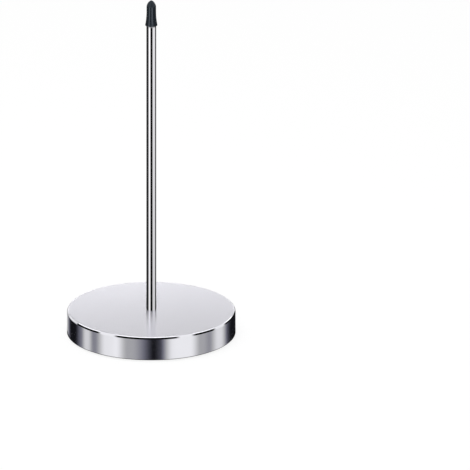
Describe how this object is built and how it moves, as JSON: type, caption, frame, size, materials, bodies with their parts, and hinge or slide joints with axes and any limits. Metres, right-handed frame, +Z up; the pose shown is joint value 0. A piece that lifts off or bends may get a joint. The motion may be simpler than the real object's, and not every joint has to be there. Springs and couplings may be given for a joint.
{
  "type": "bill spike",
  "caption": "Desk bill spike: a straight polished rod with a capped point, standing on a round weighted base with a soft pad underneath, on which paper slips are filed.",
  "frame": {"origin": "on the desk, under the middle of the base, at the underside of the pad", "axes": "+Z up along the spike; the object is round, and -Y faces the picture's camera"},
  "size_m": [0.08, 0.08, 0.1675],
  "materials": {
    "cover_steel": "satin",
    "spike_steel": "polished",
    "ballast_iron": "matte",
    "hardware_steel": "satin",
    "pad_foam": "matte",
    "cap_rubber": "satin"
  },
  "bodies": {
    "base": {"base_cover": "cover_steel", "ballast_disc": "ballast_iron", "base_pad": "pad_foam", "spike_rod": "spike_steel", "plain_washer": "hardware_steel", "spring_washer": "hardware_steel", "hex_nut": "hardware_steel"},
    "cap": {"tip_cap": "cap_rubber"}
  },
  "joints": [
    {"name": "cap_pull", "type": "slide", "parent": "base", "child": "cap", "axis": [0, 0, 1], "range_m": [0, 0.03]}
  ]
}
